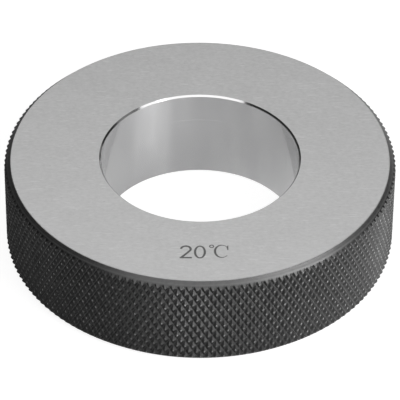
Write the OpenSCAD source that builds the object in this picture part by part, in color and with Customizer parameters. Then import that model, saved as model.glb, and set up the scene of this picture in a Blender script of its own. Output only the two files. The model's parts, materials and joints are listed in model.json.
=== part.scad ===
// Setting ring gauge: one turned, hardened and ground ring with a diamond-knurled grip band.
// The ring stands on its lower face. The origin is at the centre of that face, with +Z along the bore.

/* [Bore] */
// Diameter of the gauging bore, mm
bore_d = 36; // [30:1:42]
// Size of the 45 degree chamfer at each end of the bore, mm
bore_chamfer = 0.3; // [0.2:0.1:1]

/* [Body] */
// Outside diameter over the crests of the knurl, mm
outside_d = 71; // [66:1:74]
// Height between the two ground faces, mm
height = 18; // [14:1:20]
// Size of the 45 degree chamfer at each end of the knurled band, mm
edge_chamfer = 1.15; // [0.8:0.05:2]

/* [Knurl] */
// Distance between neighbouring grooves, measured square to them, mm
knurl_pitch = 1.2; // [1.2:0.1:2]
// Angle between the grooves and the ring's axis, degrees
knurl_angle = 30; // [25:1:35]
// Depth of the grooves below the crests, mm
knurl_depth = 0.45; // [0.3:0.05:0.5]

/* [Hidden] */
steel = [0.66, 0.66, 0.65];
round_fn = 180;

bore_r = bore_d / 2;
outside_r = outside_d / 2;
bore_mouth_r = bore_r + bore_chamfer;
face_r = outside_r - edge_chamfer;

// Two families of grooves cross in a lattice. A column runs up the ring at each crest and at each
// crossing between crests, so there are two columns to a tooth and two rows to an axial period.
teeth = round(PI * outside_d * cos(knurl_angle) / knurl_pitch);
columns = 2 * teeth;
rows = round(2 * height * sin(knurl_angle) / knurl_pitch);
row_h = height / rows;
point_h = outside_d;
overrun = 1;

// A lattice point is a crest where one of its column and row numbers is odd and the other even,
// and the bottom of a crossing of two grooves everywhere else.
function is_crest(column, row) = (column + row) % 2 == 1;
function lattice_r(column, row) = is_crest(column, row) ? outside_r : outside_r - knurl_depth;
function lattice_point(column, row) =
    let (angle = 360 * column / columns, r = lattice_r(column, row))
    [r * cos(angle), r * sin(angle), row * row_h];

// Number of a lattice point in the list, with the last column followed by the first.
function at(column, row) = row * columns + column % columns;

// The two flanks in one cell of the lattice meet along the groove between its two low points.
function cell_flanks(column, row) =
    let (
        low_left = at(column, row),
        low_right = at(column + 1, row),
        high_left = at(column, row + 1),
        high_right = at(column + 1, row + 1)
    )
    is_crest(column, row)
        ? [[low_left, high_left, low_right], [high_right, low_right, high_left]]
        : [[low_right, low_left, high_right], [high_left, high_right, low_left]];

// A bar knurled along its whole length. Its pointed ends lie outside the turned form.
module knurled_bar() {
    lower_tip = columns * (rows + 1);
    upper_tip = lower_tip + 1;
    points = [
        for (row = [0 : rows], column = [0 : columns - 1]) lattice_point(column, row),
        [0, 0, -point_h],
        [0, 0, height + point_h]
    ];
    flanks = [
        for (row = [0 : rows - 1], column = [0 : columns - 1]) each cell_flanks(column, row)
    ];
    lower_end = [
        for (column = [0 : columns - 1]) [at(column, 0), at(column + 1, 0), lower_tip]
    ];
    upper_end = [
        for (column = [0 : columns - 1]) [at(column + 1, rows), at(column, rows), upper_tip]
    ];
    polyhedron(points, concat(flanks, lower_end, upper_end), convexity = 4);
}

// The turned section. The outer chamfers run on past the crests, so that they cut the knurl
// and the band keeps the full diameter between them.
module turned_form() {
    rotate_extrude($fn = round_fn)
        polygon([
            [bore_mouth_r, 0],
            [face_r, 0],
            [outside_r + overrun, edge_chamfer + overrun],
            [outside_r + overrun, height - edge_chamfer - overrun],
            [face_r, height],
            [bore_mouth_r, height],
            [bore_r, height - bore_chamfer],
            [bore_r, bore_chamfer]
        ]);
}

module ring() {
    color(steel)
        intersection() {
            turned_form();
            knurled_bar();
        }
}

ring();
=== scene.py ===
"""Setting ring gauge: the looks of the turned, knurled, blackened and ground ring."""
import json
import math

import bmesh
import bpy
from mathutils import Matrix, Vector
from mathutils.geometry import delaunay_2d_cdt

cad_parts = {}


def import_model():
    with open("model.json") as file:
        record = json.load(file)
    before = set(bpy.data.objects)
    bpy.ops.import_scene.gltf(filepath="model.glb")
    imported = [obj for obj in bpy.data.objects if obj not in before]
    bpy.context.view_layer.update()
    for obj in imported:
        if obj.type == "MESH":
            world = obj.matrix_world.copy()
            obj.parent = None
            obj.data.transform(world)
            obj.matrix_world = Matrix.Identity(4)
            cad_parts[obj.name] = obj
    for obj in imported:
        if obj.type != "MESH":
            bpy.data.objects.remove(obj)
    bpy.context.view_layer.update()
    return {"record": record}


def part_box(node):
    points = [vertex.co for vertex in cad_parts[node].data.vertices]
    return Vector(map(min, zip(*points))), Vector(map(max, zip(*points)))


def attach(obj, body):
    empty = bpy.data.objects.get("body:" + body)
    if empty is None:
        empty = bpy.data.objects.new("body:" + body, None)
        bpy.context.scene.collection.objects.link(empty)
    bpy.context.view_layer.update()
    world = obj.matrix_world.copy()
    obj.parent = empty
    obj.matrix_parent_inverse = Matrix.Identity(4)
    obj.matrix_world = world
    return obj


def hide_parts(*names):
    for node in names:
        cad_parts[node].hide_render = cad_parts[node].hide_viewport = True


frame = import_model()

# Sizes of the ring in millimetres, from the frame where it gives them
MM = 0.001
bore_mount = next(m for m in frame["record"]["mounts"] if m["name"] == "bore")
_, ring_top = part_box("ring")
OUTSIDE_R = ring_top.x / MM
HEIGHT = ring_top.z / MM
BORE_R = bore_mount["dims"]["r_mm"]
BORE_CHAMFER = (HEIGHT - bore_mount["dims"]["length_mm"]) / 2
BORE_MOUTH_R = BORE_R + BORE_CHAMFER
EDGE_CHAMFER = 1.15
EDGE_BREAK = 0.05
FACE_R = OUTSIDE_R - EDGE_CHAMFER
BORE_SEGMENTS = 480

# The diamond knurl: two families of grooves at equal and opposite angles to the axis
KNURL_PITCH = 1.2
KNURL_ANGLE = math.radians(30)
KNURL_DEPTH = 0.45
TEETH = round(2 * math.pi * OUTSIDE_R * math.cos(KNURL_ANGLE) / KNURL_PITCH)
COLUMNS = 2 * TEETH
ROWS = round(2 * HEIGHT * math.sin(KNURL_ANGLE) / KNURL_PITCH)
ROW_H = HEIGHT / ROWS
# Section of one tooth: share of the way from its crest to the groove line, and depth below the crest
TOOTH_SECTION = [(0.18, 0.0), (0.25, 0.025), (0.90, 0.42), (0.95, 0.442), (0.985, KNURL_DEPTH)]

# The reference temperature etched in the upper face, in millimetres on that face
MARK_DEPTH = 0.04
MARK_PEN = 0.40
MARK_ARC_STEPS = 28
# Least cosine of half a bend in a pen stroke, past which its corner is cut short
MITRE_LIMIT = 0.5

# Corners of the mesh that agree to this many digits are one, in millimetres and in columns
POINT_DIGITS = 6
COLUMN_DIGITS = 7
# Settings of the triangulation of the flat faces
ALL_TRIANGLES = 0
FILL_EPSILON = 1e-7
# Faces that meet at less than these angles shade as one rounded surface
SMOOTH_ANGLE = math.radians(18)
GROOVE_SMOOTH_ANGLE = math.radians(28)

# Material slots of the ring's mesh
GROUND, LAPPED, BORE_EDGE, CHAMFER, KNURL, CREST, GROOVE, MARK = range(8)
# Slot of the faces from each level of a tooth's section down to the next
TOOTH_SLOTS = [CREST, KNURL, GROOVE, GROOVE]


# Mesh


class RingMesh:
    """Collects the ring's corners and faces. Corners that fall together become one."""

    def __init__(self):
        self.points = []
        self.number = {}
        self.faces = []

    def corner(self, x, y, z):
        """Number of the corner at a place in millimetres."""
        key = (round(x, POINT_DIGITS), round(y, POINT_DIGITS), round(z, POINT_DIGITS))
        if key not in self.number:
            self.number[key] = len(self.points)
            self.points.append((x * MM, y * MM, z * MM))
        return self.number[key]

    def around(self, column, z, r):
        """Number of the corner at a column of the knurl, a height and a radius."""
        angle = 2 * math.pi * column / COLUMNS
        return self.corner(r * math.cos(angle), r * math.sin(angle), z)

    def face(self, corners, slot):
        kept = [c for i, c in enumerate(corners) if c != corners[i - 1]]
        if len(kept) > 2:
            self.faces.append((kept, slot))


def tooth_corners(column, row, share, depth):
    """Left, lower, right and upper corner of one level of the tooth on a lattice point."""
    r = OUTSIDE_R - depth
    z = row * ROW_H
    rise = share * ROW_H
    return [(column - share, z, r), (column, z - rise, r), (column + share, z, r), (column, z + rise, r)]


def crossing_face(column, row):
    """Bottom of a crossing of two grooves, between the feet of the four teeth round it."""
    foot = TOOTH_SECTION[-1]
    return [
        tooth_corners(column, row - 1, *foot)[3],
        tooth_corners(column + 1, row, *foot)[0],
        tooth_corners(column, row + 1, *foot)[1],
        tooth_corners(column - 1, row, *foot)[2],
    ]


def tooth_faces(column, row):
    """Slot and corners of each face of one tooth, and of the grooves up to the teeth above it."""
    levels = [tooth_corners(column, row, *level) for level in TOOTH_SECTION]
    yield CREST, levels[0]
    for slot, upper, lower in zip(TOOTH_SLOTS, levels, levels[1:]):
        for k in range(4):
            yield slot, [upper[k], lower[k], lower[(k + 1) % 4], upper[(k + 1) % 4]]
    if row < ROWS:
        here = levels[-1]
        right = tooth_corners(column + 1, row + 1, *TOOTH_SECTION[-1])
        left = tooth_corners(column - 1, row + 1, *TOOTH_SECTION[-1])
        yield GROOVE, [here[2], right[1], right[0], here[3]]
        yield GROOVE, [here[3], left[2], left[1], here[0]]


def knurl_faces():
    """Slot and corners of every face of the knurl, unrolled: each corner is (column, height, radius)."""
    for row in range(ROWS + 1):
        for column in range(COLUMNS):
            if (column + row) % 2 == 1:
                yield from tooth_faces(column, row)
            elif 0 < row < ROWS:
                yield GROOVE, crossing_face(column, row)


def clipped(face, outside):
    """The part of an unrolled face where outside() is not above zero, and its new corners in order."""
    kept, cut = [], []
    for a, b in zip(face, face[1:] + face[:1]):
        ga, gb = outside(a), outside(b)
        if ga <= 0:
            kept.append(a)
        if (ga <= 0) != (gb <= 0):
            first, last, g1, g2 = (a, b, ga, gb) if a <= b else (b, a, gb, ga)
            t = g1 / (g1 - g2)
            p = tuple(u + t * (v - u) for u, v in zip(first, last))
            kept.append(p)
            cut.append(p)
    return kept, cut


def add_knurl(ring):
    """Adds the knurl, cut by both outer chamfers. Returns the jagged edge left at each chamfer."""
    edges = {"low": {}, "high": {}}
    cutters = {
        "low": lambda p: p[2] - FACE_R - p[1],
        "high": lambda p: p[2] - FACE_R - (HEIGHT - p[1]),
    }
    for slot, face in knurl_faces():
        for end, outside in cutters.items():
            face, cut = clipped(face, outside)
            for column, z, r in cut:
                edges[end][round(column % COLUMNS, COLUMN_DIGITS) % COLUMNS] = (z, r)
        if len(face) > 2:
            ring.face([ring.around(*p) for p in face], slot)
    return [sorted((column, z, r) for column, (z, r) in edges[end].items()) for end in ("low", "high")]


def add_band(ring, lower, upper, slot):
    """Joins two rows of corners that lie on the same columns, seen from outside with lower below."""
    n = len(lower)
    for k in range(n):
        ring.face([lower[k], lower[(k + 1) % n], upper[(k + 1) % n], upper[k]], slot)


def circle(ring, columns, r, z):
    return [ring.around(column, z, r) for column in columns]


def add_end(ring, edge, z, inward):
    """Adds the outer chamfer and the rim's break at one end. Returns the corners round its flat face.

    z is the height of that face, and inward is 1 or -1 along Z, towards the middle of the ring.
    """
    columns = [column for column, _, _ in edge]
    cut = [ring.around(*p) for p in edge]
    rim = circle(ring, columns, FACE_R + EDGE_BREAK, z + inward * EDGE_BREAK)
    face = circle(ring, columns, FACE_R - EDGE_BREAK, z)
    for outer, inner, slot in ((cut, rim, CHAMFER), (rim, face, GROUND)):
        lower, upper = (outer, inner) if inward < 0 else (inner, outer)
        add_band(ring, lower, upper, slot)
    return face


def add_bore(ring):
    """Adds the wall and the chamfers of the bore. Returns the corners of its upper and lower mouths."""
    columns = [COLUMNS * k / BORE_SEGMENTS for k in range(BORE_SEGMENTS)]
    mouth_high = circle(ring, columns, BORE_MOUTH_R, HEIGHT)
    wall_high = circle(ring, columns, BORE_R, HEIGHT - BORE_CHAMFER)
    wall_low = circle(ring, columns, BORE_R, BORE_CHAMFER)
    mouth_low = circle(ring, columns, BORE_MOUTH_R, 0)
    add_band(ring, mouth_high, wall_high, BORE_EDGE)
    add_band(ring, wall_high, wall_low, LAPPED)
    add_band(ring, wall_low, mouth_low, BORE_EDGE)
    return mouth_high, mouth_low


def flat_xy(ring, corner):
    return Vector((ring.points[corner][0] / MM, ring.points[corner][1] / MM))


def turns_left(loop):
    return sum(a.cross(b) for a, b in zip(loop, loop[1:] + loop[:1])) > 0


def add_flat(ring, outer, inner, z, up, shapes=()):
    """Fills a face between two circles of corners. Shapes are (outline, is_hole) and become recesses."""
    points, loops = [], []
    rims = [[flat_xy(ring, c) for c in rim] for rim in (outer, inner)]
    for loop in [*rims, *[outline for outline, _ in shapes]]:
        loop_numbers = list(range(len(points), len(points) + len(loop)))
        loops.append(loop_numbers if turns_left(loop) else loop_numbers[::-1])
        points.extend(loop)
    filled = delaunay_2d_cdt(points, [], loops, ALL_TRIANGLES, FILL_EPSILON)
    out_points, _, triangles, origin, _, from_loops = filled
    corner_of = dict(enumerate([*outer, *inner]))

    def corner(v, height):
        known = [corner_of[o] for o in origin[v] if o in corner_of]
        if known:
            return known[0]
        return ring.corner(out_points[v][0], out_points[v][1], height)

    outer_loop, inner_loop = range(len(rims))
    holes = {len(rims) + k for k, (_, is_hole) in enumerate(shapes) if is_hole}
    recessed = []
    for triangle, sources in zip(triangles, from_loops):
        sources = set(sources)
        if outer_loop not in sources or inner_loop in sources:
            continue
        if sources - {outer_loop} and not sources & holes:
            recessed.append(triangle)
            continue
        corners = [corner(v, z) for v in triangle]
        ring.face(corners if up else corners[::-1], GROUND)
    add_recess(ring, recessed, corner, z)


def add_recess(ring, triangles, corner, z):
    """Sinks triangles of the upper face by the mark's depth and adds the walls round them."""
    sides = {(a, b) for t in triangles for a, b in zip(t, t[1:] + t[:1])}
    for t in triangles:
        ring.face([corner(v, z - MARK_DEPTH) for v in t], MARK)
    for a, b in sides:
        if (b, a) not in sides:
            floor_a, floor_b = corner(a, z - MARK_DEPTH), corner(b, z - MARK_DEPTH)
            ring.face([floor_a, floor_b, corner(b, z), corner(a, z)], MARK)


# Mark


def arc(cx, cy, rx, ry, start, stop, steps=MARK_ARC_STEPS):
    """Points on an ellipse's arc, in degrees anticlockwise from +X."""
    angles = [math.radians(start + (stop - start) * k / steps) for k in range(steps + 1)]
    return [Vector((cx + rx * math.cos(a), cy + ry * math.sin(a))) for a in angles]


def ellipse(cx, cy, rx, ry):
    return arc(cx, cy, rx, ry, 0, 360)[:-1]


def rectangle(x0, y0, x1, y1):
    return [Vector(p) for p in ((x0, y0), (x1, y0), (x1, y1), (x0, y1))]


def stroke(points, width):
    """Outline of a pen stroke of one width along points, with square ends."""
    left, right = [], []
    for k, p in enumerate(points):
        before = (p - points[k - 1]).normalized() if k else None
        after = (points[k + 1] - p).normalized() if k < len(points) - 1 else None
        along = ((before or after) + (after or before)).normalized()
        side = Vector((-along.y, along.x))
        next_side = Vector((-(after or before).y, (after or before).x))
        reach = width / 2 / max(side.dot(next_side), MITRE_LIMIT)
        left.append(p + side * reach)
        right.append(p - side * reach)
    return left + right[::-1]


def mark_shapes():
    """Outlines of the reference temperature, 20 degrees Celsius, as (outline, is_hole)."""
    shapes = []
    # Two: a bowl, its diagonal and its foot
    bowl = arc(-2.36, -25.84, 0.84, 0.82, 178, -28)
    shapes.append((stroke([*bowl, Vector((-3.12, -28.06))], MARK_PEN), False))
    shapes.append((rectangle(-3.42, -28.31, -1.29, -27.93), False))
    # Nought: one ellipse inside another
    shapes.append((ellipse(0.11, -26.59, 1.06, 1.74), False))
    shapes.append((ellipse(0.11, -26.59, 0.66, 1.41), True))
    # Degree sign
    shapes.append((ellipse(2.16, -25.04, 0.45, 0.45), False))
    shapes.append((ellipse(2.16, -25.04, 0.24, 0.24), True))
    # Capital C with a thick left side, thin ends and an upright serif
    outside = arc(3.90, -26.35, 1.35, 1.76, 46, 320)
    inside = arc(4.03, -26.35, 1.10, 1.55, 320, 46)
    shapes.append((outside + inside, False))
    serif = [(4.76, -25.26), (4.98, -24.76), (5.08, -24.76), (5.10, -26.02), (4.94, -26.02)]
    shapes.append(([Vector(p) for p in serif], False))
    return shapes


# Ring


def build_ring():
    ring = RingMesh()
    low_edge, high_edge = add_knurl(ring)
    high_face = add_end(ring, high_edge, HEIGHT, -1)
    low_face = add_end(ring, low_edge, 0, 1)
    mouth_high, mouth_low = add_bore(ring)
    add_flat(ring, high_face, mouth_high, HEIGHT, True, mark_shapes())
    add_flat(ring, low_face, mouth_low, 0, False)
    return ring


def is_smooth(edge):
    """Whether an edge shades as rounded. The knurl's groove bottoms do, though their faces turn further."""
    if len(edge.link_faces) != 2:
        return False
    in_groove = all(face.material_index in (KNURL, GROOVE) for face in edge.link_faces)
    return edge.calc_face_angle(0.0) < (GROOVE_SMOOTH_ANGLE if in_groove else SMOOTH_ANGLE)


def mesh_object(name, ring, materials):
    mesh = bpy.data.meshes.new(name)
    mesh.from_pydata(ring.points, [], [f for f, _ in ring.faces])
    mesh.polygons.foreach_set("material_index", [slot for _, slot in ring.faces])
    for material in materials:
        mesh.materials.append(material)
    bm = bmesh.new()
    bm.from_mesh(mesh)
    for face in bm.faces:
        face.smooth = True
    for edge in bm.edges:
        edge.smooth = is_smooth(edge)
    bm.to_mesh(mesh)
    bm.free()
    obj = bpy.data.objects.new(name, mesh)
    bpy.context.scene.collection.objects.link(obj)
    return obj


# Materials. Scales of noise are in waves to the metre.

# How quickly wear changes from one tooth of the knurl to the next
TOOTH_WEAR_SCALE = 700.0


def new_material(name):
    material = bpy.data.materials.new(name)
    material.use_nodes = True
    tree = material.node_tree
    shader = tree.nodes["Principled BSDF"]
    return material, tree, shader


def feed(tree, made, inputs):
    """Gives a node its inputs: a socket is linked, and any other value is set."""
    for key, value in inputs.items():
        if isinstance(value, bpy.types.NodeSocket):
            tree.links.new(value, made.inputs[key])
        else:
            made.inputs[key].default_value = value


def node(tree, kind, inputs=None, **settings):
    made = tree.nodes.new(kind)
    for key, value in settings.items():
        setattr(made, key, value)
    feed(tree, made, inputs or {})
    return made


def object_place(tree, scale=(1, 1, 1)):
    place = node(tree, "ShaderNodeTexCoord").outputs["Object"]
    return node(tree, "ShaderNodeMapping", {"Vector": place, "Scale": scale}).outputs["Vector"]


def radius_of(tree):
    """Distance from the ring's axis, in metres."""
    parts = node(tree, "ShaderNodeSeparateXYZ", {"Vector": object_place(tree)})
    flat = node(tree, "ShaderNodeCombineXYZ", {"X": parts.outputs["X"], "Y": parts.outputs["Y"]})
    length = node(tree, "ShaderNodeVectorMath", {0: flat.outputs["Vector"]}, operation="LENGTH")
    return length.outputs["Value"]


def remap(tree, value, low, high, to_low, to_high):
    inputs = {"Value": value, "From Min": low, "From Max": high, "To Min": to_low, "To Max": to_high}
    return node(tree, "ShaderNodeMapRange", inputs).outputs["Result"]


def noise(tree, place, scale, detail=2.0, roughness=0.5):
    inputs = {"Vector": place, "Scale": scale, "Detail": detail, "Roughness": roughness}
    return node(tree, "ShaderNodeTexNoise", inputs).outputs["Fac"]


def drawn_noise(tree, scales, detail=2.0, roughness=0.5):
    """Noise with a scale of its own along X, Y and Z."""
    return noise(tree, object_place(tree, scales), 1.0, detail, roughness)


def total(tree, *parts):
    """Sum of (value, weight) pairs."""
    made = None
    for value, weight in parts:
        inputs = {0: value, 1: weight, 2: made if made is not None else 0.0}
        made = node(tree, "ShaderNodeMath", inputs, operation="MULTIPLY_ADD").outputs[0]
    return made


def ramp(tree, value, dark, light):
    """Colour from dark at 0 to light at 1."""
    inputs = {"Factor": value, "A": (*dark, 1), "B": (*light, 1)}
    return node(tree, "ShaderNodeMix", inputs, data_type="RGBA").outputs["Result"]


def grey_ramp(tree, value, dark, light):
    return ramp(tree, value, (dark, dark, dark), (light, light, light))


def bump(tree, height, strength, distance):
    inputs = {"Height": height, "Strength": strength, "Distance": distance}
    return node(tree, "ShaderNodeBump", inputs).outputs["Normal"]


def ground_steel():
    """Ground faces: grain drawn out along X, faint clouds, light scratches and dark specks."""
    material, tree, shader = new_material("ground_steel")
    fine = drawn_noise(tree, (2200, 3200, 2200))
    grain = drawn_noise(tree, (1150, 1900, 1150))
    clouds = drawn_noise(tree, (90, 150, 90))
    scratches = remap(tree, drawn_noise(tree, (480, 3400, 480), 1.0, 0.4), 0.68, 0.76, 0, 1)
    specks = remap(tree, drawn_noise(tree, (1500, 2200, 1500), 1.0, 0.4), 0.27, 0.20, 0, 1)
    level = total(tree, (fine, 0.45), (grain, 1.05), (clouds, 0.3), (scratches, 0.9), (specks, -0.5))
    shade = remap(tree, level, 0.40, 1.40, 0.0, 1.0)
    feed(tree, shader, {
        "Base Color": grey_ramp(tree, shade, 0.52, 0.69),
        "Roughness": remap(tree, grain, 0.3, 0.7, 0.34, 0.44),
        "Normal": bump(tree, fine, 0.06, 0.00002),
        "Metallic": 1.0,
    })
    return material


def lapped_bore():
    """Bore wall: bright, drawing what it reflects out along the axis, with a few marks round it."""
    material, tree, shader = new_material("lapped_bore")
    wear = drawn_noise(tree, (240, 240, 50))
    lines = drawn_noise(tree, (90, 90, 3600))
    scratches = remap(tree, lines, 0.66, 0.76, 0.0, 1.0)
    pits = remap(tree, drawn_noise(tree, (900, 900, 1400), 1.0, 0.4), 0.25, 0.18, 0, 1)
    level = total(tree, (wear, 0.9), (lines, 0.15), (scratches, 0.35), (pits, -0.6))
    shade = remap(tree, level, 0.25, 0.95, 0.0, 1.0)
    tangent = node(tree, "ShaderNodeTangent", direction_type="RADIAL", axis="Z")
    feed(tree, shader, {
        "Base Color": ramp(tree, shade, (0.58, 0.58, 0.59), (0.80, 0.80, 0.80)),
        "Roughness": remap(tree, wear, 0.3, 0.7, 0.22, 0.27),
        "Metallic": 0.75,
        "Coat Weight": 1.0,
        "Coat Roughness": 0.03,
        "Coat IOR": 2.4,
        "Anisotropic": 1.0,
        "Anisotropic Rotation": 0.25,
        "Tangent": tangent.outputs["Tangent"],
    })
    return material


def bore_edge():
    """Chamfers of the bore: turned bright, with very fine marks round them."""
    material, tree, shader = new_material("bore_edge")
    marks = drawn_noise(tree, (60, 60, 4000))
    feed(tree, shader, {
        "Base Color": grey_ramp(tree, marks, 0.57, 0.62),
        "Roughness": remap(tree, marks, 0.3, 0.7, 0.10, 0.16),
        "Metallic": 1.0,
    })
    return material


def chamfer_oxide():
    """Blackened chamfer with the concentric lines of turning."""
    material, tree, shader = new_material("chamfer_oxide")
    line_place = node(tree, "ShaderNodeCombineXYZ", {"X": radius_of(tree)})
    lines = noise(tree, line_place.outputs["Vector"], 2600.0, 2.0, 0.6)
    mottle = noise(tree, object_place(tree), 1800.0, 2.0, 0.6)
    level = remap(tree, total(tree, (lines, 1.0), (mottle, 0.3)), 0.52, 0.78, 0.0, 1.0)
    feed(tree, shader, {
        "Base Color": grey_ramp(tree, level, 0.002, 0.062),
        "Roughness": remap(tree, lines, 0.4, 0.6, 0.28, 0.40),
        "Normal": bump(tree, lines, 0.6, 0.00006),
        "IOR": 1.8,
    })
    return material


def wear_of_teeth(tree, grain_scale):
    """Fine grain plus how much each tooth has worn, from 0 to 1."""
    grain = noise(tree, object_place(tree), grain_scale, 3.0, 0.6)
    teeth = noise(tree, object_place(tree), TOOTH_WEAR_SCALE, 1.0, 0.5)
    return remap(tree, total(tree, (grain, 0.5), (teeth, 1.0)), 0.58, 0.92, 0.0, 1.0)


def knurl_oxide():
    """Blackened flanks of the knurl."""
    material, tree, shader = new_material("knurl_oxide")
    wear = wear_of_teeth(tree, 3500.0)
    feed(tree, shader, {
        "Base Color": grey_ramp(tree, wear, 0.008, 0.032),
        "Roughness": remap(tree, wear, 0.0, 1.0, 0.36, 0.24),
        "IOR": 1.75,
    })
    return material


def rubbed_crest():
    """Tips of the teeth, where handling has rubbed the black thin and bright."""
    material, tree, shader = new_material("rubbed_crest")
    wear = wear_of_teeth(tree, 2600.0)
    feed(tree, shader, {
        "Base Color": grey_ramp(tree, wear, 0.22, 0.60),
        "Roughness": remap(tree, wear, 0.0, 1.0, 0.36, 0.24),
        "Metallic": 1.0,
    })
    return material


def burnished_groove():
    """Bottoms of the grooves, pressed smooth by the edges of the knurling wheels."""
    material, tree, shader = new_material("burnished_groove")
    grain = noise(tree, object_place(tree), 2600.0, 3.0, 0.6)
    level = remap(tree, grain, 0.3, 0.7, 0.0, 1.0)
    feed(tree, shader, {
        "Base Color": grey_ramp(tree, level, 0.010, 0.030),
        "Roughness": remap(tree, grain, 0.3, 0.7, 0.12, 0.20),
        "IOR": 2.8,
    })
    return material


def etched_mark():
    """Floor and walls of the etched characters: dull, dark grey."""
    material, tree, shader = new_material("etched_mark")
    grain = noise(tree, object_place(tree), 6000.0, 2.0, 0.6)
    feed(tree, shader, {
        "Base Color": grey_ramp(tree, grain, 0.10, 0.20),
        "Roughness": 0.65,
        "Metallic": 0.3,
    })
    return material


# Studio, in metres

FLOOR_SIZE = 0.3
FLOOR_DROP = 0.00001
FLOOR_COLOUR = (0.32, 0.32, 0.32)
# Glow of the floor to the camera, and to what mirrors it. For mirrors only, painted light lies on the floor
# under the bore, where it fades out to a radius, and a painted pool of light lies on the key lights' side,
# where it grows along X up to its full strength.
FLOOR_CAMERA_GLOW = 0.88
BORE_PAINTED_LIGHT = 0.33
BORE_PAINTED_LIGHT_END = 0.034
KEY_SIDE_PAINTED_LIGHT = 0.48
KEY_SIDE_PAINTED_LIGHT_FULL = 0.030
# Strength of the even light from all round
ROOM = 0.04

# Name, azimuth in degrees to the right of the front, elevation, distance, width, height and radiance
SOFTBOXES = [
    ("front", 0, 50.5, 1.2, 1.7, 0.6, 1.65),
    ("front_low", -25, 12, 1.0, 0.30, 0.20, 0.72),
    ("back", 180, 42, 1.2, 1.5, 0.5, 0.70),
    ("back_high", 180, 62, 1.2, 1.0, 0.5, 1.4),
    ("key_low", 58, 4, 1.0, 0.30, 0.22, 8.0),
    ("key_left", 42, 28, 1.0, 0.30, 0.34, 6.6),
    ("key_middle", 62, 24, 1.0, 0.42, 0.30, 11.4),
    ("key_high", 60, 42, 1.0, 0.42, 0.30, 1.66),
    ("key_right", 90, 28, 1.0, 0.45, 0.34, 0.24),
    ("right_back", 150, 16, 1.0, 0.70, 0.40, 0.2),
]


def floor_mesh():
    mesh = bpy.data.meshes.new("floor")
    half = FLOOR_SIZE / 2
    corners = [(-half, -half, 0), (half, -half, 0), (half, half, 0), (-half, half, 0)]
    mesh.from_pydata(corners, [], [(0, 1, 2, 3)])
    return mesh


def floor_white():
    """Plain floor whose glow whitens what the camera and the metal see, while the shadow stays on it.
    Mirrors also see painted light on it under the bore and on the key lights' side.
    """
    material, tree, shader = new_material("floor_white")
    # Painted light: a glow that only reflections see, on the floor under the bore, fading out to a radius
    painted_bore_light = remap(tree, radius_of(tree), BORE_R * MM, BORE_PAINTED_LIGHT_END, BORE_PAINTED_LIGHT, 0.0)
    across = node(tree, "ShaderNodeSeparateXYZ", {"Vector": object_place(tree)}).outputs["X"]
    # Painted pool of light: a glow that only reflections see, growing along X on the key lights' side
    painted_key_side_light = remap(tree, across, 0.0, KEY_SIDE_PAINTED_LIGHT_FULL, 0.0, KEY_SIDE_PAINTED_LIGHT)
    path = node(tree, "ShaderNodeLightPath")
    # Sum of the painted light that only mirrors see
    painted_mirrored_light = total(tree, (painted_bore_light, 1.0), (painted_key_side_light, 1.0))
    glow = total(
        tree,
        (path.outputs["Is Camera Ray"], FLOOR_CAMERA_GLOW),
        (path.outputs["Is Glossy Ray"], painted_mirrored_light),
    )
    feed(tree, shader, {
        "Base Color": (*FLOOR_COLOUR, 1),
        "Roughness": 0.9,
        "Specular IOR Level": 0.0,
        "Emission Color": (1, 1, 1, 1),
        "Emission Strength": glow,
    })
    return material


def floor():
    obj = bpy.data.objects.new("floor", floor_mesh())
    obj.location.z = -FLOOR_DROP
    bpy.context.scene.collection.objects.link(obj)
    obj.data.materials.append(floor_white())


def world():
    """White to the camera, and a dim even room to everything else."""
    made = bpy.data.worlds.new("studio")
    made.use_nodes = True
    bpy.context.scene.world = made
    tree = made.node_tree
    path = node(tree, "ShaderNodeLightPath")
    strength = remap(tree, path.outputs["Is Camera Ray"], 0, 1, ROOM, 1.0)
    feed(tree, tree.nodes["Background"], {"Color": (1, 1, 1, 1), "Strength": strength})


def place_object(name, data, place, turn):
    """Adds an object that looks along -Z of its turn."""
    obj = bpy.data.objects.new(name, data)
    obj.location = place
    obj.rotation_mode = "QUATERNION"
    obj.rotation_quaternion = turn
    bpy.context.scene.collection.objects.link(obj)
    return obj


def softbox(name, azimuth, elevation, distance, width, height, radiance):
    """Area light aimed at the ring. A mirror that shows it has its radiance as brightness."""
    light = bpy.data.lights.new(name, "AREA")
    light.shape = "RECTANGLE"
    light.size = width
    light.size_y = height
    light.energy = radiance * math.pi * width * height
    a, e = math.radians(azimuth), math.radians(elevation)
    away = Vector((math.sin(a) * math.cos(e), -math.cos(a) * math.cos(e), math.sin(e)))
    place_object(name, light, away * distance, (-away).to_track_quat("-Z", "Y"))


# Camera, in metres, with its sensor and lens in millimetres

SENSOR_WIDTH = 36.0
LENS = 300.3
CAMERA_PLACE = (0.0, -0.470675, 0.397769)
CAMERA_AIM = (0.000055, 0.0, 0.007795)
CAMERA_ROLL = math.radians(0.465)
CLIP_START = 0.01
CLIP_END = 20


def camera():
    data = bpy.data.cameras.new("camera")
    data.sensor_width = SENSOR_WIDTH
    data.lens = LENS
    data.clip_start = CLIP_START
    data.clip_end = CLIP_END
    place = Vector(CAMERA_PLACE)
    turn = (Vector(CAMERA_AIM) - place).to_track_quat("-Z", "Y").to_matrix()
    turn = turn @ Matrix.Rotation(CAMERA_ROLL, 3, "Z")
    bpy.context.scene.camera = place_object("camera", data, place, turn.to_quaternion())


# In the order of the slots
materials = [
    ground_steel(),
    lapped_bore(),
    bore_edge(),
    chamfer_oxide(),
    knurl_oxide(),
    rubbed_crest(),
    burnished_groove(),
    etched_mark(),
]
gauge = mesh_object("ring_gauge", build_ring(), materials)
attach(gauge, "root")
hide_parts("ring")
floor()
world()
for row in SOFTBOXES:
    softbox(*row)
camera()
bpy.context.scene.view_settings.view_transform = "Standard"
